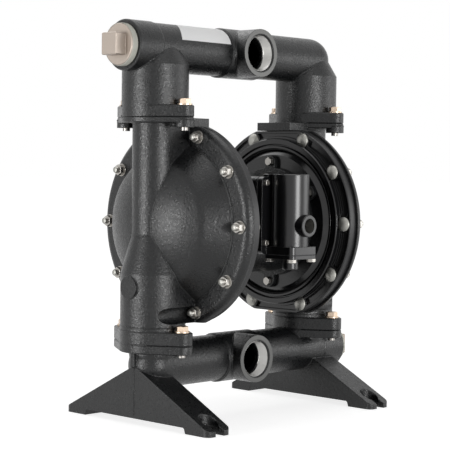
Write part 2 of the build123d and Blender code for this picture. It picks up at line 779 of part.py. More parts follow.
# ------------------------------------------------------------------ air chambers
with BuildPart() as air_chamber:
    with BuildSketch(axis_plane()):
        with BuildLine():
            Polyline(
                (seat_face_x, air_open_r), (seat_face_x, bowl_floor_r),
                (clamp_x - groove_x, cavity_r), (clamp_x - air_ring_x, fine_ring_in_r),
                (clamp_x - air_ring_x, fine_ring_out_r), (clamp_x - groove_x, fine_ring_out_r + 1),
                (clamp_x - groove_x, ring_in_r - 1), (clamp_x - air_ring_x, ring_in_r),
                (clamp_x - air_ring_x, ring_out_r - 1.5), (clamp_x - air_ring_x + 1.5, ring_out_r),
                (air_face_x, ring_out_r), (air_face_x, air_flange_r - 1.5),
                (air_face_x + 1.5, air_flange_r), (clamp_x, air_flange_r),
                (clamp_x, diaphragm_r + diaphragm_edge_gap),
                (clamp_x - diaphragm_t / 2, diaphragm_r + diaphragm_edge_gap),
                (clamp_x - diaphragm_t / 2, cavity_r), (clamp_x - 9, cavity_r - 4),
                (seat_face_x + air_web_t, bowl_floor_r - 12), (seat_face_x + air_web_t, air_open_r),
                close=True,
            )
        make_face()
    revolve(axis=shaft_axis)
    with Locations((clamp_x, 0, axis_z)):
        Box(4 * air_flange_t, 3 * flange_r, 2 * flat_half, mode=Mode.INTERSECT)
    with BuildSketch(cross_plane(air_face_x)):
        Circle(pocket_out_r)
        Circle(pocket_in_r, mode=Mode.SUBTRACT)
        Rectangle(2 * flange_r, 2 * flat_half - 8, mode=Mode.INTERSECT)
        with Locations(*chamber_bolts):
            Circle(pocket_land_r, mode=Mode.SUBTRACT)
    extrude(amount=pocket_depth, mode=Mode.SUBTRACT)
    with BuildSketch(cross_plane(air_face_x - m10_head_t)):
        with Locations(*chamber_bolts):
            Circle(m10_head_r + 0.5)
    extrude(amount=m10_head_t, mode=Mode.SUBTRACT)
    with BuildSketch(cross_plane(air_face_x)):
        with Locations(*chamber_bolts):
            Circle(m10_r + hole_gap)
    extrude(amount=air_flange_t, mode=Mode.SUBTRACT)
    with BuildSketch(cross_plane(seat_face_x)):
        with Locations(*ear_points):
            Circle(m8_r + thread_gap)
    extrude(amount=air_web_t, mode=Mode.SUBTRACT)
write_pair(air_chamber, "air_chamber")

# ------------------------------------------------------------------ centre block
with BuildPart() as centre_block:
    with BuildSketch(cross_plane(0)):
        Circle(drum_r)
    extrude(amount=seat_face_x - end_flange_t, both=True)
    for side in (-1, 1):
        with BuildSketch(cross_plane(side * seat_face_x)):
            Circle(end_flange_r)
            for y, z in ear_points:
                with Locations((y, z)):
                    Circle(ear_r)
                with Locations(Location((y * 0.9, z * 0.9), Vector(y, z).get_signed_angle(Vector(1, 0, 0)))):
                    Rectangle(0.2 * ear_circle_r, 2 * ear_r)
        extrude(amount=-side * end_flange_t)
    for side in (-1, 1):
        with BuildSketch(front_plane(side * pad_y, 0, (pad_bottom_z + pad_top_z) / 2)):
            RectangleRounded(2 * pad_half, pad_top_z - pad_bottom_z, pad_corner)
        extrude(amount=side * pad_y)
    for side in (-1, 1):
        with BuildSketch(cross_plane(side * seat_face_x)):
            Circle(block_recess_r)
        extrude(amount=-side * (seat_face_x - block_core_x), mode=Mode.SUBTRACT)
        with BuildSketch(cross_plane(side * block_core_x)):
            Circle(bush_r)
        extrude(amount=-side * (bush_length + seal_t), mode=Mode.SUBTRACT)
        with BuildSketch(cross_plane(side * block_core_x, axis_z + pilot_z)):
            Circle(pilot_bush_r)
        extrude(amount=-side * pilot_bush_length, mode=Mode.SUBTRACT)
        with BuildSketch(cross_plane(side * seat_face_x)):
            with Locations(*ear_points):
                Circle(m8_r + hole_gap)
        extrude(amount=-side * end_flange_t, mode=Mode.SUBTRACT)
    with BuildSketch(cross_plane(0)):
        Circle(shaft_r + 1.5)
        with Locations((0, pilot_z)):
            Circle(pilot_r + 1)
    extrude(amount=block_core_x, both=True, mode=Mode.SUBTRACT)
    with BuildSketch(front_plane(block_pad_face_y, 0, 0)):
        with Locations(*valve_screw_points):
            Circle(m6_r + thread_gap)
    extrude(amount=-valve_screw_depth, mode=Mode.SUBTRACT)
write(centre_block.part, "centre_block")

# ------------------------------------------------------------------ main air valve
with BuildPart() as valve_body:
    with BuildSketch(Plane.XY.offset(valve_bottom_z)):
        with Locations((0, -valve_y)):
            Circle(valve_r)
        with Locations((0, (gasket_face_y - valve_y) / 2)):
            Rectangle(2 * valve_r, gasket_face_y + valve_y)
    extrude(amount=valve_top_z - valve_bottom_z)
    chamfer(valve_body.faces().sort_by(Axis.Z)[-1].edges(), 1.2)
    with BuildSketch(front_plane(gasket_face_y, 0, (pad_bottom_z + pad_top_z) / 2)):
        RectangleRounded(2 * pad_half, pad_top_z - pad_bottom_z, pad_corner)
    extrude(amount=valve_plate_t)
    with BuildSketch(Plane.XY.offset(valve_bottom_z)):
        with Locations((0, -valve_y)):
            RectangleRounded(2 * valve_flange_half, 2 * valve_flange_half, valve_flange_round)
    extrude(amount=valve_flange_t)
    with BuildSketch(front_plane(-valve_y, 0, axis_z)):
        Circle(inlet_r)
    extrude(amount=inlet_face_y - valve_y)
    chamfer(valve_body.edges().sort_by(Axis.Y)[0], 1.0)
    with BuildSketch(Plane.XY.offset(valve_bottom_z)):
        with Locations((0, -valve_y)):
            Circle(valve_bore_r)
    extrude(amount=valve_bore_top_z - valve_bottom_z, mode=Mode.SUBTRACT)
    with BuildSketch(front_plane(-inlet_face_y, 0, axis_z)):
        Circle(inlet_bore_r)
    extrude(amount=-inlet_depth, mode=Mode.SUBTRACT)
    with BuildSketch(front_plane(-inlet_face_y, 0, axis_z)):
        Circle(inlet_throat_r)
    extrude(amount=-(inlet_face_y - valve_y), mode=Mode.SUBTRACT)
    with BuildSketch(Plane.XY.offset(valve_bottom_z)):
        with Locations((0, -valve_y)):
            with GridLocations(2 * cap_bolt_half, 2 * cap_bolt_half, 2, 2):
                Circle(m8_r + thread_gap)
    extrude(amount=valve_flange_t, mode=Mode.SUBTRACT)
    with BuildSketch(front_plane(gasket_face_y, 0, 0)):
        with Locations(*valve_screw_points):
            Circle(m6_r + hole_gap)
    extrude(amount=valve_plate_t, mode=Mode.SUBTRACT)
write(valve_body.part, "valve_body")

with BuildPart() as valve_gasket:
    with BuildSketch(front_plane(block_pad_face_y, 0, (pad_bottom_z + pad_top_z) / 2)):
        RectangleRounded(2 * (pad_half - valve_gasket_inset),
                         pad_top_z - pad_bottom_z - 2 * valve_gasket_inset,
                         pad_corner - valve_gasket_inset)
        window = valve_gasket_inset + valve_gasket_band
        RectangleRounded(2 * (pad_half - window), pad_top_z - pad_bottom_z - 2 * window,
                         pad_corner / 2, mode=Mode.SUBTRACT)
    extrude(amount=valve_gasket_t)
    with BuildSketch(front_plane(block_pad_face_y, 0, 0)):
        with Locations(*valve_screw_points):
            Circle(m6_r + hole_gap)
    extrude(amount=valve_gasket_t, mode=Mode.SUBTRACT)
write(valve_gasket.part, "valve_gasket")

cap_face_z = valve_bottom_z - cap_gasket_t
with BuildPart() as cap_gasket:
    with BuildSketch(Plane.XY.offset(cap_face_z)):
        with Locations((0, -valve_y)):
            RectangleRounded(2 * valve_flange_half - 1, 2 * valve_flange_half - 1, valve_flange_round)
            Circle(valve_bore_r - 2, mode=Mode.SUBTRACT)
            with GridLocations(2 * cap_bolt_half, 2 * cap_bolt_half, 2, 2):
                Circle(m8_r + hole_gap, mode=Mode.SUBTRACT)
    extrude(amount=cap_gasket_t)
write(cap_gasket.part, "valve_cap_gasket")

with BuildPart() as valve_cap:
    with BuildSketch(Plane.XY.offset(cap_face_z - cap_t)):
        with Locations((0, -valve_y)):
            RectangleRounded(2 * valve_flange_half, 2 * valve_flange_half, valve_flange_round)
    extrude(amount=cap_t)
    with BuildSketch(Plane.XY.offset(cap_face_z - cap_t - cap_boss_t)):
        with Locations((0, -valve_y)):
            Circle(cap_boss_r)
    extrude(amount=cap_boss_t)
    chamfer(valve_cap.faces().sort_by(Axis.Z)[0].edges(), 1.2)
    with BuildSketch(Plane.XY.offset(cap_face_z - cap_t)):
        with Locations((0, -valve_y)):
            with GridLocations(2 * cap_bolt_half, 2 * cap_bolt_half, 2, 2):
                Circle(m8_r + hole_gap)
    extrude(amount=cap_t, mode=Mode.SUBTRACT)
write(valve_cap.part, "valve_cap")

with BuildPart() as valve_sleeve:
    with BuildSketch(Plane.XY.offset(cap_face_z)):
        with Locations((0, -valve_y)):
            Circle(valve_bore_r - 2.2)
    extrude(amount=cap_gasket_t)
    with BuildSketch(Plane.XY.offset(valve_bottom_z)):
        with Locations((0, -valve_y)):
            Circle(sleeve_r)
    extrude(amount=valve_bore_top_z - valve_bottom_z - 1)
    with BuildSketch(Plane.XY.offset(cap_face_z)):
        with Locations((0, -valve_y)):
            Circle(sleeve_bore_r)
    extrude(amount=valve_bore_top_z - cap_face_z, mode=Mode.SUBTRACT)
    for level in (-sleeve_port_pitch, 0, sleeve_port_pitch):
        with BuildSketch(cross_plane(0, axis_z + spool_travel + level)):
            with Locations((-valve_y, 0)):
                Circle(sleeve_port_r)
        extrude(amount=2 * sleeve_r, both=True, mode=Mode.SUBTRACT)
write(valve_sleeve.part, "valve_sleeve")

spool_r = sleeve_bore_r - spool_gap
with BuildPart() as valve_spool:
    with BuildSketch(Plane.XY.offset(cap_face_z)):
        with Locations((0, -valve_y)):
            Circle(spool_neck_r)
    extrude(amount=spool_length)
    for step in range(3):
        with BuildSketch(Plane.XY.offset(cap_face_z + step * (spool_length - spool_land_t) / 2)):
            with Locations((0, -valve_y)):
                Circle(spool_r)
        extrude(amount=spool_land_t)
write(valve_spool.part, "valve_spool")

# ------------------------------------------------------------------ shaft and diaphragms
with BuildPart() as diaphragm_shaft:
    with BuildSketch(cross_plane(0)):
        Circle(shaft_r)
    extrude(amount=shaft_half, both=True)
    chamfer(diaphragm_shaft.edges().filter_by(GeomType.CIRCLE), 1)
    for side in (-1, 1):
        with BuildSketch(cross_plane(side * shaft_half)):
            Circle(end_bolt_r + thread_gap)
        extrude(amount=-side * stud_hole, mode=Mode.SUBTRACT)
write(diaphragm_shaft.part, "diaphragm_shaft")

with BuildPart() as shaft_bushes:
    for side in (-1, 1):
        with BuildSketch(cross_plane(side * (block_core_x - seal_t))):
            Circle(bush_r)
            Circle(shaft_r + shaft_gap, mode=Mode.SUBTRACT)
        extrude(amount=-side * bush_length)
write(shaft_bushes.part, "shaft_bushes")

with BuildPart() as shaft_seals:
    for side in (-1, 1):
        with BuildSketch(cross_plane(side * block_core_x)):
            Circle(bush_r)
            Circle(shaft_r + shaft_gap, mode=Mode.SUBTRACT)
        extrude(amount=-side * seal_t)
write(shaft_seals.part, "shaft_seals")

with BuildPart() as pilot_rod:
    with BuildSketch(cross_plane(0, axis_z + pilot_z)):
        Circle(pilot_r)
    extrude(amount=pilot_half, both=True)
    chamfer(pilot_rod.edges().filter_by(GeomType.CIRCLE), 0.8)
write(pilot_rod.part, "pilot_rod")

with BuildPart() as pilot_bushes:
    for side in (-1, 1):
        with BuildSketch(cross_plane(side * block_core_x, axis_z + pilot_z)):
            Circle(pilot_bush_r)
            Circle(pilot_r + shaft_gap, mode=Mode.SUBTRACT)
        extrude(amount=-side * pilot_bush_length)
write(pilot_bushes.part, "pilot_bushes")

web_r = plate_r + 2
with BuildPart() as diaphragm:
    with BuildSketch(axis_plane()):
        with BuildLine():
            half = diaphragm_t / 2
            Polyline((clamp_x - half, web_r), (clamp_x - half, end_bolt_r + stud_gap),
                     (clamp_x + half, end_bolt_r + stud_gap), (clamp_x + half, web_r))
            ThreePointArc((clamp_x + half, web_r), (clamp_x + half + convolution, (web_r + cavity_r) / 2),
                          (clamp_x + half, cavity_r - 1))
            Polyline((clamp_x + half, cavity_r - 1), (clamp_x + half, diaphragm_r),
                     (clamp_x - half, diaphragm_r), (clamp_x - half, cavity_r - 1))
            ThreePointArc((clamp_x - half, cavity_r - 1), (clamp_x - half + convolution,
                          (web_r + cavity_r) / 2), (clamp_x - half, web_r))
        make_face()
    revolve(axis=shaft_axis)
write_pair(diaphragm, "diaphragm")

with BuildPart() as inner_plate:
    with BuildSketch(axis_plane()) as section:
        with BuildLine():
            face = clamp_x - diaphragm_t / 2
            Polyline((face, end_bolt_r + stud_gap), (face, plate_r), (face - 5, plate_r),
                     (face - inner_plate_t, plate_r - 22), (face - inner_plate_t, end_bolt_r + stud_gap),
                     close=True)
        make_face()
        fillet(section.vertices().sort_by_distance((face - 5, plate_r, 0))[0], 3)
    revolve(axis=shaft_axis)
write_pair(inner_plate, "inner_plate")

with BuildPart() as outer_plate:
    with BuildSketch(axis_plane()) as section:
        with BuildLine():
            face = clamp_x + diaphragm_t / 2
            Polyline((face, end_bolt_r + stud_gap), (face, plate_r), (face + 4, plate_r),
                     (face + outer_plate_t, plate_hub_r), (face + outer_plate_t, end_bolt_r + stud_gap),
                     close=True)
        make_face()
        fillet(section.vertices().sort_by_distance((face + 4, plate_r, 0))[0], 3)
    revolve(axis=shaft_axis)
write_pair(outer_plate, "outer_plate")

bolt_seat_x = clamp_x + diaphragm_t / 2 + outer_plate_t
end_bolt = hex_bolt(end_bolt_r, end_bolt_af, end_bolt_head, end_bolt_length)
with BuildPart() as diaphragm_bolt:
    add(end_bolt.moved(Location((bolt_seat_x, 0, axis_z), (0, 90, 0))))
write_pair(diaphragm_bolt, "diaphragm_bolt")

# ------------------------------------------------------------------ check valves
with BuildPart() as ball_seat:
    with BuildSketch(axis_plane(column_x, 0)):
        with BuildLine():
            top = seat_above
            Polyline((seat_bore_r, -seat_below), (seat_r, -seat_below), (seat_r, top),
                     (seat_bore_r + seat_chamfer, top), (seat_bore_r, top - seat_chamfer), close=True)
        make_face()
    revolve(axis=Axis((column_x, 0, 0), (0, 0, 1)))

with BuildPart() as check_ball:
    with Locations((column_x, 0, seat_above + ball_rise)):
        Sphere(ball_r)

with BuildPart() as seat_ring:
    with Locations((column_x, 0, (ring_t + ring_gap) / 2)):
        Torus(seat_r + ring_gap + ring_t / 2, ring_t / 2)

for stage, joint_z in (("inlet", suction_joint_z), ("outlet", discharge_joint_z)):
    lift = Location((0, 0, joint_z))
    for piece, name in ((ball_seat, "seat"), (check_ball, "ball"), (seat_ring, "seat_ring")):
        with BuildPart() as right:
            add(piece.part.moved(lift))
        write_pair(right, f"{stage}_{name}")

# ------------------------------------------------------------------ exhaust silencer
with BuildPart() as silencer:
    with BuildSketch(Plane(origin=(0, pad_y, axis_z), x_dir=(-1, 0, 0), z_dir=(0, 1, 0))):
        Circle(silencer_neck_r)
    extrude(amount=silencer_neck_t)
    with BuildSketch(Plane(origin=(0, pad_y + silencer_neck_t, axis_z), x_dir=(-1, 0, 0), z_dir=(0, 1, 0))):
        Circle(silencer_r)
    extrude(amount=silencer_end_y - pad_y - silencer_neck_t)
    fillet(silencer.faces().sort_by(Axis.Y)[-1].edges(), 4)
    with BuildSketch(Plane(origin=(0, pad_y + silencer_neck_t + 8, axis_z), x_dir=(-1, 0, 0),
                           z_dir=(0, 1, 0))):
        with PolarLocations(silencer_r, silencer_slots):
            Rectangle(5, 3.2)
    extrude(amount=silencer_end_y - pad_y - silencer_neck_t - 20, mode=Mode.SUBTRACT)
write(silencer.part, "exhaust_silencer")

# ------------------------------------------------------------------ fasteners
bolt_reach = air_flange_t + flange_t + m10_washer_t + m10_nut_t + m10_tip
with BuildPart() as round_head_bolt:
    with BuildSketch():
        Circle(m10_head_r)
    extrude(amount=m10_head_t)
    fillet(round_head_bolt.faces().sort_by(Axis.Z)[-1].edges(), m10_head_round)
    with BuildSketch():
        Circle(m10_r)
    extrude(amount=-bolt_reach)
    chamfer(round_head_bolt.faces().sort_by(Axis.Z)[0].edges(), 1)


def nut(radius, flats, height):
    "A plain hexagon nut standing on the XY plane."
    with BuildPart() as solid:
        add(hex_solid(flats, height))
        with BuildSketch():
            Circle(radius + thread_gap)
        extrude(amount=height, mode=Mode.SUBTRACT)
    return solid.part


def washer(outer_r, hole_r, height):
    "A flat washer standing on the XY plane."
    with BuildPart() as solid:
        with BuildSketch():
            Circle(outer_r)
            Circle(hole_r, mode=Mode.SUBTRACT)
        extrude(amount=height)
    return solid.part


def socket_screw(radius, head_r, head, socket, length):
    "A socket head screw along Z: the shank hangs below the origin."
    with BuildPart() as screw:
        with BuildSketch(Plane.XY.offset(-length)):
            Circle(radius)
        extrude(amount=length)
        with BuildSketch():
            Circle(head_r)
        extrude(amount=head)
        chamfer(screw.faces().sort_by(Axis.Z)[-1].edges(), 0.8)
        with BuildSketch(Plane.XY.offset(head)):
            RegularPolygon(socket / 2, 6, major_radius=False)
        extrude(amount=-head / 2, mode=Mode.SUBTRACT)
    return screw.part


m10_nut = nut(m10_r, m10_af, m10_nut_t)
m10_washer = washer(m10_washer_r, m10_r + hole_gap, m10_washer_t)
m12_washer = washer(m12_washer_r, m12_r + hole_gap, m12_washer_t)
upper_bolt = hex_bolt(m12_r, m12_af, m12_head_t, manifold_flange_t + top_flange_t + m12_washer_t + m12_tip)
lower_bolt = hex_bolt(m12_r, m12_af, m12_head_t,
                      bottom_flange_t + suction_flange_t + m12_washer_t + m12_tip)
block_screw = hex_bolt(m8_r, m8_af, m8_head_t, end_flange_t + air_web_t - 0.5)
cap_screw = hex_bolt(m8_r, m8_af, m8_head_t, cap_t + cap_gasket_t + valve_flange_t - 1)
valve_screw = socket_screw(m6_r, m6_head_r, m6_head_t, m6_socket_af,
                           valve_plate_t + valve_gasket_t + valve_screw_depth - 1)

for side, side_name in ((-1, "left"), (1, "right")):
    bolts, nuts, washers = [], [], []
    for y, z in chamber_bolts:
        inward = Location((side * air_face_x, y, axis_z + z), (0, -side * 90, 0))
        outward = Location((side * nut_face_x, y, axis_z + z), (0, side * 90, 0))
        bolts.append(round_head_bolt.part.moved(inward))
        washers.append(m10_washer.moved(outward))
        nuts.append(m10_nut.moved(outward * Location((0, 0, m10_washer_t))))
    write(group(bolts), f"chamber_bolts_{side_name}")
    write(group(nuts), f"chamber_nuts_{side_name}")
    write(group(washers), f"chamber_washers_{side_name}")

upper_set, lower_set = [], []
for x in (-column_x, column_x):
    for y in (-lug_y, lug_y):
        top = Location((x, y, discharge_joint_z + manifold_flange_t))
        low = Location((x, y, suction_joint_z + bottom_flange_t))
        upper_set += [m12_washer.moved(top), upper_bolt.moved(top * Location((0, 0, m12_washer_t)))]
        lower_set += [m12_washer.moved(low), lower_bolt.moved(low * Location((0, 0, m12_washer_t)))]
write(group(upper_set), "discharge_manifold_bolts")
write(group(lower_set), "suction_manifold_bolts")

write(group(
    block_screw.moved(Location((side * (seat_face_x - end_flange_t), y, axis_z + z), (0, -side * 90, 0)))
    for side in (-1, 1) for y, z in ear_points
), "block_screws")

write(group(
    cap_screw.moved(Location((x, y - valve_y, cap_face_z - cap_t), (180, 0, 0)))
    for x in (-cap_bolt_half, cap_bolt_half) for y in (-cap_bolt_half, cap_bolt_half)
), "valve_cap_screws")

write(group(
    valve_screw.moved(Location((x, gasket_face_y - valve_plate_t, z), (90, 0, 0)))
    for x, z in valve_screw_points
), "valve_screws")
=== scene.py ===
from math import acos, cos, pi, radians, sin

import bmesh
import bpy
from mathutils import Matrix, Vector
from mathutils.bvhtree import BVHTree


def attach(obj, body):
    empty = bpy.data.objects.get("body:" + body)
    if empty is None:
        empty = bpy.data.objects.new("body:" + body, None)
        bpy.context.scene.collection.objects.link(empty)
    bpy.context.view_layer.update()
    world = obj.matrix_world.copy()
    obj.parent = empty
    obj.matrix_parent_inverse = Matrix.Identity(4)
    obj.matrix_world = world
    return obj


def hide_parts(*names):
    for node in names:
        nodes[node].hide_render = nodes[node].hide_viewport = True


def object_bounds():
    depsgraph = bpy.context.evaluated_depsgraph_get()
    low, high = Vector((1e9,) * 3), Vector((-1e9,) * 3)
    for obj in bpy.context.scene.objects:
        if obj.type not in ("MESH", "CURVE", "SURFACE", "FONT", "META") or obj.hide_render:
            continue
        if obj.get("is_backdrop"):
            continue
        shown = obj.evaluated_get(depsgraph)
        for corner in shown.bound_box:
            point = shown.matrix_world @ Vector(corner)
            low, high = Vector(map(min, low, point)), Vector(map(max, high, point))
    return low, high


# An air operated double diaphragm pump of 2 inch size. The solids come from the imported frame.
# This script gives them their finishes, adds threads, fillets, port faces and the blank label,
# and replaces the valve body and the chamber bolts by finer forms of the same pieces.

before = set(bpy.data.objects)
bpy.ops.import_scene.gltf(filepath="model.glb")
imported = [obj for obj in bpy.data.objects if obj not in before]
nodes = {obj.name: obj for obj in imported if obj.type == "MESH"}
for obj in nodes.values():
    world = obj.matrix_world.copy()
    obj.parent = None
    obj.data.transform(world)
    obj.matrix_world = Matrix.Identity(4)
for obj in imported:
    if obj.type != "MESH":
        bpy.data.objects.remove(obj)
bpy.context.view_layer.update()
MM = 0.001

# ------------------------------------------------------------------ places, in millimetres
# Read from the solids: the shaft axis, the upper and lower tube, their port and plug ends.
axis_z = 319.0
tube_r = 39.0
discharge_z = 603.0
suction_z = 92.0
discharge_joint_z, suction_joint_z = 491.0, 129.0
port_face_y, port_wall_r, port_chamfer, port_boss_r = -60.0, 30.1, 2.1, 39.6
inlet_face_y, inlet_wall_r = -172.0, 11.9
plug_end_x, plug_r = 263.4, 32.9
rim_r = 165.5            # the air chambers' glossy faces end here
bolt_tip_chamfer = 0.9   # of the chamber bolts
inch = 25.4
sides = ((-1, "left"), (1, "right"))
port_pitch, inlet_pitch = inch / 11.5, inch / 14
m10_r, m10_pitch = 5.0, 1.5


def hex_to_linear(code):
    "An sRGB hex colour as the linear values a shader takes."
    parts = [int(code[i:i + 2], 16) / 255 for i in (1, 3, 5)]
    return tuple(c / 12.92 if c <= 0.04045 else ((c + 0.055) / 1.055) ** 2.4 for c in parts) + (1.0,)


# ------------------------------------------------------------------ materials


def add_node(tree, kind, settings=None, **sockets):
    "Adds a shader node; each socket gets a constant or another node's output."
    made = tree.nodes.new(kind)
    for name, value in (settings or {}).items():
        setattr(made, name, value)
    for name, value in sockets.items():
        socket = made.inputs[name.replace("_", " ")]
        if isinstance(value, bpy.types.NodeSocket):
            tree.links.new(value, socket)
        else:
            socket.default_value = value
    return made


def finish(name, colour, **sockets):
    "A new material with one Principled shader; returns the material, its tree and its shader."
    made = bpy.data.materials.new(name)
    made.use_nodes = True
    tree = made.node_tree
    tree.nodes.clear()
    shader = add_node(tree, "ShaderNodeBsdfPrincipled", Base_Color=hex_to_linear(colour), **sockets)
    out = add_node(tree, "ShaderNodeOutputMaterial")
    tree.links.new(shader.outputs["BSDF"], out.inputs["Surface"])
    return made, tree, shader


def grain(tree, size_mm, detail=2.0, roughness=0.5):
    "Noise whose features are about size_mm across, in the object's own space."
    place = add_node(tree, "ShaderNodeTexCoord")
    noise = add_node(tree, "ShaderNodeTexNoise", Vector=place.outputs["Object"],
                     Scale=1000 / size_mm, Detail=detail, Roughness=roughness)
    return noise.outputs["Fac"]


def soft_edges(tree, radius_mm):
    "Normals that round every edge and corner off, as a cast and coated part has them."
    return add_node(tree, "ShaderNodeBevel", {"samples": 6}, Radius=radius_mm * MM).outputs["Normal"]


def relief(tree, height, depth_mm, under=None, strength=1.0):
    "Bump from a height, depth_mm deep, on top of another bump if there is one."
    bump = add_node(tree, "ShaderNodeBump", Height=height, Distance=depth_mm * MM, Strength=strength)
    if under is not None:
        tree.links.new(under, bump.inputs["Normal"])
    return bump.outputs["Normal"]


def textured_powder_coat():
    "Black polyester powder over sand-cast aluminium: a fine leathery texture with a soft grey sheen."
    made, tree, shader = finish("textured_powder_coat", "#0D0E0F", IOR=1.45)
    casting = relief(tree, grain(tree, 24.0, 3.0), 0.9, soft_edges(tree, 2.2), 0.7)
    leather = relief(tree, grain(tree, 3.4, 4.0, 0.62), 0.7, casting)
    tree.links.new(leather, shader.inputs["Normal"])
    wear = add_node(tree, "ShaderNodeMapRange", Value=grain(tree, 4.0, 3.0), From_Min=0.35, From_Max=0.7,
                    To_Min=0.25, To_Max=0.43)
    tree.links.new(wear.outputs["Result"], shader.inputs["Roughness"])
    return made


def gloss_enamel(name, roughness, edge_r=None):
    "Smooth black enamel with sharp reflections, rougher on a rim outside edge_r millimetres."
    made, tree, shader = finish(name, "#0B0B0D", Roughness=roughness, IOR=1.5)
    peel = relief(tree, grain(tree, 7.0, 1.0), 0.05, soft_edges(tree, 1.2))
    tree.links.new(peel, shader.inputs["Normal"])
    if edge_r is not None:
        place = add_node(tree, "ShaderNodeTexCoord")
        level = add_node(tree, "ShaderNodeVectorMath", {"operation": "MULTIPLY_ADD"})
        tree.links.new(place.outputs["Object"], level.inputs[0])
        level.inputs[1].default_value = (0, 1, 1)
        level.inputs[2].default_value = (0, 0, -axis_z * MM)
        reach = add_node(tree, "ShaderNodeVectorMath", {"operation": "LENGTH"})
        tree.links.new(level.outputs["Vector"], reach.inputs[0])
        rim = add_node(tree, "ShaderNodeMapRange", Value=reach.outputs["Value"], From_Min=(edge_r - 0.5) * MM,
                       From_Max=edge_r * MM, To_Min=roughness, To_Max=0.42)
        tree.links.new(rim.outputs["Result"], shader.inputs["Roughness"])
    return made


def plated_steel(name, colour, roughness):
    "Zinc plated steel: bright metal, slightly cloudy."
    made, tree, shader = finish(name, colour, Metallic=1.0, Roughness=roughness)
    cloud = relief(tree, grain(tree, 2.5, 2.0), 0.012, soft_edges(tree, 0.5))
    tree.links.new(cloud, shader.inputs["Normal"])
    return made


def passivated_bolts(name, joint_z):
    "Yellow passivated heads above a joint, plain steel nuts and thread ends below it."
    head, tip = "#C4B19E", "#8F8C88"
    made = plated_steel(name, head, 0.34)
    tree = made.node_tree
    place = add_node(tree, "ShaderNodeTexCoord")
    split = add_node(tree, "ShaderNodeSeparateXYZ", Vector=place.outputs["Object"])
    above = add_node(tree, "ShaderNodeMath", {"operation": "GREATER_THAN"})
    tree.links.new(split.outputs["Z"], above.inputs[0])
    above.inputs[1].default_value = joint_z * MM
    tint = add_node(tree, "ShaderNodeMix", {"data_type": "RGBA"})
    tree.links.new(above.outputs[0], tint.inputs[0])
    tint.inputs[6].default_value, tint.inputs[7].default_value = hex_to_linear(tip), hex_to_linear(head)
    shader = next(node for node in tree.nodes if node.type == "BSDF_PRINCIPLED")
    tree.links.new(tint.outputs[2], shader.inputs["Base Color"])
    return made


def cast_stainless():
    "Investment cast stainless steel, blasted: light grey and satin, faintly pitted."
    made, tree, shader = finish("cast_stainless", "#9F958C", Metallic=1.0, Roughness=0.46)
    pits = relief(tree, grain(tree, 1.4, 3.0), 0.06, soft_edges(tree, 1.6))
    tree.links.new(pits, shader.inputs["Normal"])
    return made


def plain(name, colour, roughness, ior=1.5):
    "A plain dielectric with a very fine surface grain."
    made, tree, shader = finish(name, colour, Roughness=roughness, IOR=ior)
    fine = relief(tree, grain(tree, 1.2, 2.0), 0.03)
    tree.links.new(fine, shader.inputs["Normal"])
    return made


powder_coat = textured_powder_coat()
enamel = gloss_enamel("gloss_enamel", 0.2, rim_r)
satin_enamel = gloss_enamel("satin_enamel", 0.29)
# round bolt heads: zinc plate over blasted steel, matt
blasted_zinc = plated_steel("satin_zinc_plate", "#9C9B96", 0.5)
# thread of the air inlet, with enamel left in its roots
coated_thread = finish("coated_thread", "#3A3936", Metallic=1.0, Roughness=0.42)[0]
# nuts, washers and small screws
bright_zinc = plated_steel("bright_zinc_plate", "#A6A39E", 0.3)
upper_bolts = passivated_bolts("passivated_upper_bolts", discharge_joint_z)
lower_bolts = passivated_bolts("passivated_lower_bolts", suction_joint_z)
plug_steel = cast_stainless()
# bare aluminium where the tap has been through the coat
bare_aluminium = finish("cut_aluminium", "#D0CFCC", Metallic=1.0, Roughness=0.32)[0]
# the machined port mouths, dull and thinly coated
faced_aluminium = plated_steel("faced_aluminium", "#5A5A59", 0.42)
# ground stainless steel of the shaft, the plates and the seats
stainless = finish("turned_steel", "#BDBDBA", Metallic=1.0, Roughness=0.22)[0]
nitrile = plain("moulded_nitrile", "#161616", 0.55)
neoprene = plain("fabric_reinforced_neoprene", "#1C1C1D", 0.6)
acetal = plain("machined_acetal", "#DAD8D0", 0.35, 1.48)
bronze = finish("sintered_bronze", "#A27A4C", Metallic=1.0, Roughness=0.42)[0]
polypropylene = plain("moulded_polypropylene", "#19191A", 0.5)
gasket_board = plain("pressed_gasket_board", "#2C2D30", 0.8)
label_paper = plain("pale_vinyl_label", "#E2E2E2", 0.45)
sealing_tape = plain("white_thread_tape", "#BDBDB4", 0.5, 1.35)

coated = ["discharge_manifold", "suction_manifold", "outer_chamber_left", "outer_chamber_right",
          "centre_block"]
enamelled = ["air_chamber_left", "air_chamber_right"]
plated = ["chamber_nuts_left", "chamber_nuts_right", "chamber_washers_left", "chamber_washers_right",
          "chamber_bolts_left", "chamber_bolts_right", "block_screws", "valve_screws", "valve_cap_screws"]
looks = {name: powder_coat for name in coated}
looks.update({name: enamel for name in enamelled})
looks.update({name: bright_zinc for name in plated})
looks.update({"discharge_manifold_bolts": upper_bolts, "suction_manifold_bolts": lower_bolts,
              "valve_body": satin_enamel, "valve_cap": satin_enamel,
              "discharge_plug": plug_steel, "suction_plug": plug_steel,
              "shaft_seals": nitrile, "shaft_bushes": bronze, "pilot_bushes": acetal,
              "valve_sleeve": acetal, "valve_spool": acetal, "exhaust_silencer": polypropylene,
              "valve_gasket": gasket_board, "valve_cap_gasket": gasket_board})
for name, piece in nodes.items():
    if name in ("diaphragm_left", "diaphragm_right"):
        look = neoprene
    elif "ball" in name or "ring" in name:
        look = nitrile
    else:
        look = looks.get(name, stainless)
    piece.data.materials.clear()
    piece.data.materials.append(look)

# ------------------------------------------------------------------ small pieces


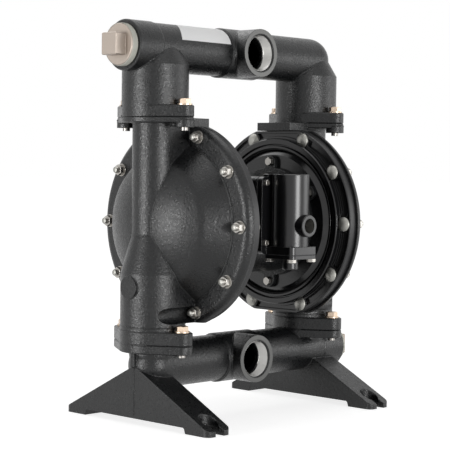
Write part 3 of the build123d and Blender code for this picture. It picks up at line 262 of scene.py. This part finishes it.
def mesh_piece(name, points, faces, material, body="casing", smooth=True):
    "A new piece from points in millimetres, riding on a body."
    mesh = bpy.data.meshes.new(name)
    mesh.from_pydata([Vector(p) * MM for p in points], [], faces)
    mesh.materials.append(material)
    mesh.validate()
    for face in mesh.polygons:
        face.use_smooth = smooth
    piece = bpy.data.objects.new(name, mesh)
    bpy.context.scene.collection.objects.link(piece)
    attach(piece, body)
    return piece


def threads(name, mouths, out, root_r, crest_r, pitch, length, material, around=72):
    "Screw threads as skins: each starts at its mouth and runs back along the axis."
    out = Vector(out).normalized()
    side = out.orthogonal().normalized()
    up = out.cross(side)
    along = max(2, round(length / pitch * 6))
    points, faces = [], []
    for mouth in mouths:
        first = len(points)
        for i in range(along + 1):
            depth = length * i / along
            for k in range(around):
                turn = k / around
                phase = (depth / pitch + turn) % 1.0
                tooth = min(1.0, max(0.0, 2.6 * (0.5 - abs(phase - 0.5)) - 0.15))
                radius = root_r + (crest_r - root_r) * tooth
                angle = 2 * pi * turn
                points.append(Vector(mouth) - out * depth
                              + (side * cos(angle) + up * sin(angle)) * radius)
        for i in range(along):
            for k in range(around):
                a, b = first + i * around + k, first + i * around + (k + 1) % around
                faces.append((a, b, b + around, a + around))
    return mesh_piece(name, points, faces, material)


def welded(name):
    "A welded copy of a node's mesh for measuring; the node itself stays as it is."
    copy = bmesh.new()
    copy.from_mesh(nodes[name].data)
    bmesh.ops.remove_doubles(copy, verts=copy.verts, dist=0.00001)
    return copy


def solids_of(name):
    "The lowest and highest corner, in millimetres, of each separate solid of a node."
    copy = welded(name)
    left, found = set(copy.verts), []
    while left:
        queue = [left.pop()]
        group = []
        while queue:
            vertex = queue.pop()
            group.append(vertex.co / MM)
            for edge in vertex.link_edges:
                other = edge.other_vert(vertex)
                if other in left:
                    left.remove(other)
                    queue.append(other)
        found.append((Vector([min(p[i] for p in group) for i in range(3)]),
                      Vector([max(p[i] for p in group) for i in range(3)])))
    copy.free()
    return sorted(found, key=lambda box: tuple(box[0]))


def beads(name, lines, radius_mm, closed=False, roundness=4):
    "Round beads of powder coated casting along lines of points in metres."
    curve = bpy.data.curves.new(name, "CURVE")
    curve.dimensions = "3D"
    curve.bevel_depth = radius_mm * MM
    curve.bevel_resolution = roundness
    for spots in lines:
        line = curve.splines.new("POLY")
        line.points.add(len(spots) - 1)
        line.use_cyclic_u = closed
        for point, spot in zip(line.points, spots):
            point.co = (*spot, 1)
    curve.materials.append(powder_coat)
    piece = bpy.data.objects.new(name, curve)
    bpy.context.scene.collection.objects.link(piece)
    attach(piece, "casing")
    return piece


def casting_fillets(name, least_turn, clear_of=(), radius_mm=1.3, reach_mm=60.0, nut_seat_r=17.0):
    """Thin fillets along the inside corners of a casting. A corner counts where it turns by least_turn
    degrees or more, where nothing stands within reach_mm of it, and clear of the seats of the nuts."""
    copy = welded(name)
    walls = BVHTree.FromBMesh(copy)
    kept = {}
    for edge in copy.edges:
        if len(edge.link_faces) != 2 or edge.calc_face_angle_signed(0.0) > -radians(least_turn):
            continue
        out = (edge.link_faces[0].normal + edge.link_faces[1].normal).normalized()
        middle = (edge.verts[0].co + edge.verts[1].co) / 2
        if any((middle / MM - spot).yz.length < nut_seat_r for spot in clear_of):
            continue
        if walls.ray_cast(middle + out * 0.5 * MM, out, reach_mm * MM)[0] is None:
            kept[edge] = True
    lines = []
    while kept:
        edge = next(iter(kept))
        del kept[edge]
        chain = [edge.verts[0], edge.verts[1]]
        for grow_end in (True, False):
            while True:
                tip = chain[-1] if grow_end else chain[0]
                onward = [e for e in tip.link_edges if e in kept]
                if len(onward) != 1:
                    break
                del kept[onward[0]]
                step = onward[0].other_vert(tip)
                chain = chain + [step] if grow_end else [step] + chain
        lines.append([vertex.co.copy() for vertex in chain])
    copy.free()
    return beads(name + "_fillets", lines, radius_mm, roundness=2)


def parting_line(side, side_name, low_z=14.0, high_z=92.0, step=3.0):
    "The raised line left by the mould down the middle of a foot's outer face."
    copy = welded("suction_manifold")
    walls = BVHTree.FromBMesh(copy)
    spots = []
    for i in range(int((high_z - low_z) / step) + 1):
        start = Vector((side * 400.0, 0.01, low_z + step * i)) * MM
        hit = walls.ray_cast(start, Vector((-side, 0, 0)))[0]
        if hit is not None:
            spots.append(hit)
    copy.free()
    return beads("parting_line_" + side_name, [spots], 0.7)


def dome_foot(side, side_name, x=141.8, r=135.6, around=160):
    "A bead where the dome rises out of the chamber's flange."
    turns = [2 * pi * k / around for k in range(around)]
    spots = [Vector((side * x, r * cos(turn), axis_z + r * sin(turn))) * MM for turn in turns]
    return beads("dome_foot_" + side_name, [spots], 1.2, closed=True)


for side_name in ("left", "right"):
    nuts = [(low + high) / 2 for low, high in solids_of("chamber_nuts_" + side_name)]
    casting_fillets("outer_chamber_" + side_name, 14.0, nuts)
for name in ("discharge_manifold", "suction_manifold"):
    casting_fillets(name, 45.0)
for side, side_name in sides:
    parting_line(side, side_name)
for side, side_name in sides:
    dome_foot(side, side_name)


def faced_ring(name, y, z, inner_r, outer_r, proud=0.1, around=96):
    "The faced end of a port: a very thin bright ring on the boss."
    points, faces = [], []
    for k in range(around):
        angle = 2 * pi * k / around
        for r, lift in ((inner_r, proud), (outer_r, proud), (outer_r, 0.0), (inner_r, 0.0)):
            points.append((r * cos(angle), y - lift, z + r * sin(angle)))
    for k in range(around):
        a, b = 4 * k, 4 * ((k + 1) % around)
        faces += [(a + i, a + (i + 1) % 4, b + (i + 1) % 4, b + i) for i in range(4)]
    return mesh_piece(name, points, faces, faced_aluminium, smooth=False)


for name, z in (("discharge", discharge_z), ("suction", suction_z)):
    faced_ring(name + "_port_face", port_face_y, z, port_wall_r + port_chamfer, port_boss_r)

# pipe threads: 11.5 turns to the inch at the ports and plugs, 14 at the air inlet; each starts
# behind its chamfer and stands a little clear of the wall it is cut in
for name, z in (("discharge", discharge_z), ("suction", suction_z)):
    threads(name + "_port_thread", [(0, port_face_y + port_chamfer + 0.1, z)], (0, -1, 0),
            port_wall_r - 0.05, port_wall_r - 1.4, port_pitch, 20.0, bare_aluminium, around=96)
threads("air_inlet_thread", [(0, inlet_face_y + 0.6, axis_z)], (0, -1, 0), inlet_wall_r - 0.03,
        inlet_wall_r - 1.0, inlet_pitch, 18.0, coated_thread)
for name, z, side in (("discharge", discharge_z, -1), ("suction", suction_z, 1)):
    threads(name + "_plug_thread", [(side * plug_end_x, 0, z)], (side, 0, 0), plug_r + 0.05, plug_r + 0.9,
            port_pitch, 10.3, sealing_tape, around=96)
for side, side_name in sides:
    tips = []
    for low, high in solids_of("chamber_bolts_" + side_name):
        middle = (low + high) / 2
        tip_x = max(abs(low.x), abs(high.x)) - bolt_tip_chamfer
        tips.append((side * tip_x, middle.y, middle.z))
    threads("chamber_bolt_threads_" + side_name, tips, (side, 0, 0), m10_r + 0.02, m10_r + 0.3,
            m10_pitch, 5.0, bright_zinc, around=28)


def mushroom_bolts(side, side_name):
    "Round headed bolts: a shallow dome over a plain shank, in place of the node's plain ones."
    head_r, head_t, lip_t, around, steps = 12.3, 6.6, 1.0, 40, 10
    dome_t = head_t - lip_t
    dome_r = (head_r ** 2 + dome_t ** 2) / (2 * dome_t)
    profile = [(head_r - 0.6, 0.0), (head_r, 0.4), (head_r, lip_t)]
    for i in range(1, steps):
        r = head_r * (1 - i / steps)
        profile.append((r, head_t - dome_r + (dome_r ** 2 - r ** 2) ** 0.5))
    points, faces = [], []
    for low, high in solids_of("chamber_bolts_" + side_name):
        middle = (low + high) / 2
        inner = min(abs(low.x), abs(high.x))
        seat, tip = inner + head_t, max(abs(low.x), abs(high.x))
        rings = [(m10_r - 0.8, seat - tip), (m10_r, seat - tip + 0.8), (m10_r, 0.0)] + profile
        first = len(points)
        for r, out in rings:
            for k in range(around):
                angle = side * 2 * pi * k / around
                points.append((side * (seat - out), middle.y + r * cos(angle), middle.z + r * sin(angle)))
        for i in range(len(rings) - 1):
            for k in range(around):
                a, b = first + i * around + k, first + i * around + (k + 1) % around
                faces.append((a, a + around, b + around, b))
        last = first + (len(rings) - 1) * around
        points.append((side * inner, middle.y, middle.z))
        crown = len(points) - 1
        for k in range(around):
            faces.append((last + k, crown, last + (k + 1) % around))
        faces.append(tuple(first + k for k in range(around)))
    piece = mesh_piece("round_head_bolts_" + side_name, points, faces, blasted_zinc)
    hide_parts("chamber_bolts_" + side_name)
    return piece


for side, side_name in sides:
    mushroom_bolts(side, side_name)


def valve_casting():
    "The valve body with a full round barrel: the sides between barrel and plate are hollowed."
    valve_y, barrel_r, neck_x, plate_y = -131.5, 30.0, 19.0, -107.0
    flange_top_z, over_z, outer_x = 284.5, 404.0, 34.0
    source = nodes["valve_body"]
    piece = bpy.data.objects.new("valve_casting", source.data.copy())
    bpy.context.scene.collection.objects.link(piece)
    steps = 24
    meet = valve_y + (barrel_r ** 2 - neck_x ** 2) ** 0.5
    fillet_r = 5.0
    outline = [(neck_x + fillet_r, plate_y), (outer_x, plate_y), (outer_x, valve_y)]
    top = acos(neck_x / barrel_r)
    outline += [(barrel_r * cos(top * i / steps), valve_y + barrel_r * sin(top * i / steps))
                for i in range(steps + 1)]
    outline.append((neck_x, (meet + plate_y) / 2))
    for side in (-1, 1):
        points = [(side * x, y, z) for z in (flange_top_z, over_z) for x, y in outline]
        count = len(outline)
        faces = [tuple(range(count)), tuple(range(2 * count - 1, count - 1, -1))]
        faces += [(i, i + count, (i + 1) % count + count, (i + 1) % count) for i in range(count)]
        mesh = bpy.data.meshes.new("cutter")
        mesh.from_pydata([Vector(p) * MM for p in points], [], faces)
        check = bmesh.new()
        check.from_mesh(mesh)
        bmesh.ops.recalc_face_normals(check, faces=check.faces)
        check.to_mesh(mesh)
        check.free()
        cutter = bpy.data.objects.new("cutter", mesh)
        bpy.context.scene.collection.objects.link(cutter)
        cut = piece.modifiers.new("hollow", "BOOLEAN")
        cut.operation, cut.solver, cut.object = "DIFFERENCE", "EXACT", cutter
        bpy.context.view_layer.objects.active = piece
        bpy.ops.object.modifier_apply(modifier=cut.name)
        bpy.data.objects.remove(cutter)
        bpy.data.meshes.remove(mesh)
    bpy.ops.mesh.customdata_custom_splitnormals_clear()
    for face in piece.data.polygons:
        face.use_smooth = True
    piece.data.set_sharp_from_angle(angle=radians(28))
    piece.data.materials.clear()
    piece.data.materials.append(satin_enamel)
    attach(piece, "casing")
    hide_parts("valve_body")
    return piece


valve_casting()


def label():
    "A blank pale label wrapped over the upper tube; its ends run askew."
    first, last = radians(-40.0), radians(72.0)
    left_end, right_end, left_skew, right_skew = -144.0, -46.5, 18.0, 2.0
    skin_r = tube_r + 0.15
    rows, columns = 48, 40
    points, faces = [], []
    for i in range(rows + 1):
        angle = first + (last - first) * i / rows
        left, right = left_end - left_skew * sin(angle), right_end - right_skew * sin(angle)
        for k in range(columns + 1):
            x = left + (right - left) * k / columns
            points.append((x, -skin_r * sin(angle), discharge_z + skin_r * cos(angle)))
    wide = columns + 1
    for i in range(rows):
        for k in range(columns):
            a = i * wide + k
            faces.append((a, a + 1, a + wide + 1, a + wide))
    return mesh_piece("paper_label", points, faces, label_paper)


label()

# ------------------------------------------------------------------ floor, light and camera
studio = bpy.context.scene
floor_mesh = bpy.data.meshes.new("studio_floor")
reach = 30.0
floor_mesh.from_pydata([(-reach, -reach, 0), (reach, -reach, 0), (reach, reach, 0), (-reach, reach, 0)], [],
                       [(0, 1, 2, 3)])
floor = bpy.data.objects.new("studio_floor", floor_mesh)
floor.location.z = -0.0005
studio.collection.objects.link(floor)
floor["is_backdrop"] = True


def seen_rays(tree):
    "1 for the rays that show the background: camera, glossy and transmission; 0 for lighting."
    ray = add_node(tree, "ShaderNodeLightPath")
    mask = ray.outputs["Is Camera Ray"]
    for kind in ("Is Glossy Ray", "Is Transmission Ray"):
        both = add_node(tree, "ShaderNodeMath", {"operation": "MAXIMUM"})
        tree.links.new(mask, both.inputs[0])
        tree.links.new(ray.outputs[kind], both.inputs[1])
        mask = both.outputs[0]
    return mask


paper = bpy.data.materials.new("white_studio_paper")
paper.use_nodes = True
tree = paper.node_tree
tree.nodes.clear()
# the camera sees the paper white out to the horizon, and darker only in the object's shadow
seen = seen_rays(tree)
place = add_node(tree, "ShaderNodeTexCoord")
far = add_node(tree, "ShaderNodeVectorMath", {"operation": "LENGTH"})
tree.links.new(place.outputs["Object"], far.inputs[0])
white = add_node(tree, "ShaderNodeMapRange", Value=far.outputs["Value"], From_Min=0.5, From_Max=3.0,
                 To_Min=0.8, To_Max=1.02)
share = add_node(tree, "ShaderNodeMath", {"operation": "MULTIPLY"})
tree.links.new(seen, share.inputs[0])
tree.links.new(white.outputs["Result"], share.inputs[1])
glow = add_node(tree, "ShaderNodeEmission", Color=(1, 1, 1, 1), Strength=share.outputs[0])
matt = add_node(tree, "ShaderNodeBsdfDiffuse", Color=(0.55, 0.55, 0.55, 1))
both = add_node(tree, "ShaderNodeAddShader")
tree.links.new(matt.outputs[0], both.inputs[0])
tree.links.new(glow.outputs[0], both.inputs[1])
out = add_node(tree, "ShaderNodeOutputMaterial")
tree.links.new(both.outputs[0], out.inputs["Surface"])
floor_mesh.materials.append(paper)

world = bpy.data.worlds.new("white_studio")
studio.world = world
world.use_nodes = True
tree = world.node_tree
tree.nodes.clear()
seen = seen_rays(tree)
room = add_node(tree, "ShaderNodeBackground", Color=(1, 1, 1, 1), Strength=0.07)
white = add_node(tree, "ShaderNodeBackground", Color=(1, 1, 1, 1), Strength=1.0)
mix = add_node(tree, "ShaderNodeMixShader")
tree.links.new(seen, mix.inputs[0])
tree.links.new(room.outputs[0], mix.inputs[1])
tree.links.new(white.outputs[0], mix.inputs[2])
out = add_node(tree, "ShaderNodeOutputWorld")
tree.links.new(mix.outputs[0], out.inputs["Surface"])


def softbox(name, place, aim, width, height, watts):
    "A large soft lamp at place, facing aim; sizes in metres."
    lamp = bpy.data.lights.new(name, "AREA")
    lamp.shape = "RECTANGLE"
    lamp.size = width
    lamp.size_y = height
    lamp.energy = watts
    made = bpy.data.objects.new(name, lamp)
    made.location = place
    made.rotation_euler = (Vector(aim) - Vector(place)).to_track_quat("-Z", "Y").to_euler()
    studio.collection.objects.link(made)


middle = (0, 0, 0.32)
softbox("left_wall", (-3.0, 0.45, 0.3), middle, 1.0, 0.95, 60)
softbox("front_wall", (-0.35, -3.0, 0.3), middle, 1.1, 0.95, 62)
softbox("right_wall", (2.6, -2.2, 0.5), middle, 1.8, 1.4, 22)
softbox("top", (0, 0, 2.8), middle, 1.6, 1.6, 18)
softbox("back_top", (0.3, 2.0, 2.6), middle, 2.6, 1.2, 18)

lens_px = 1483.31
frame_px = 450.0
centre_px = (223.19, 224.85)
yaw, pitch, roll = radians(-45.88), radians(2.33), radians(0.75)
ahead = Vector((-sin(yaw) * cos(pitch), cos(yaw) * cos(pitch), -sin(pitch)))
level = Vector((cos(yaw), sin(yaw), 0))
above = level.cross(ahead)
right = level * cos(roll) + above * sin(roll)
upward = -level * sin(roll) + above * cos(roll)
camera = bpy.data.cameras.new("camera")
camera.sensor_width = 36.0
camera.lens = camera.sensor_width * lens_px / frame_px
camera.shift_x = 0.5 - centre_px[0] / frame_px
camera.shift_y = centre_px[1] / frame_px - 0.5
camera.clip_end = 100
viewer = bpy.data.objects.new("camera", camera)
viewer.matrix_world = Matrix((
    (right.x, upward.x, -ahead.x, -1.8201),
    (right.y, upward.y, -ahead.y, -1.7422),
    (right.z, upward.z, -ahead.z, 0.4169),
    (0, 0, 0, 1),
))
studio.collection.objects.link(viewer)
studio.camera = viewer
studio.view_settings.view_transform = "Standard"

low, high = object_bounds()
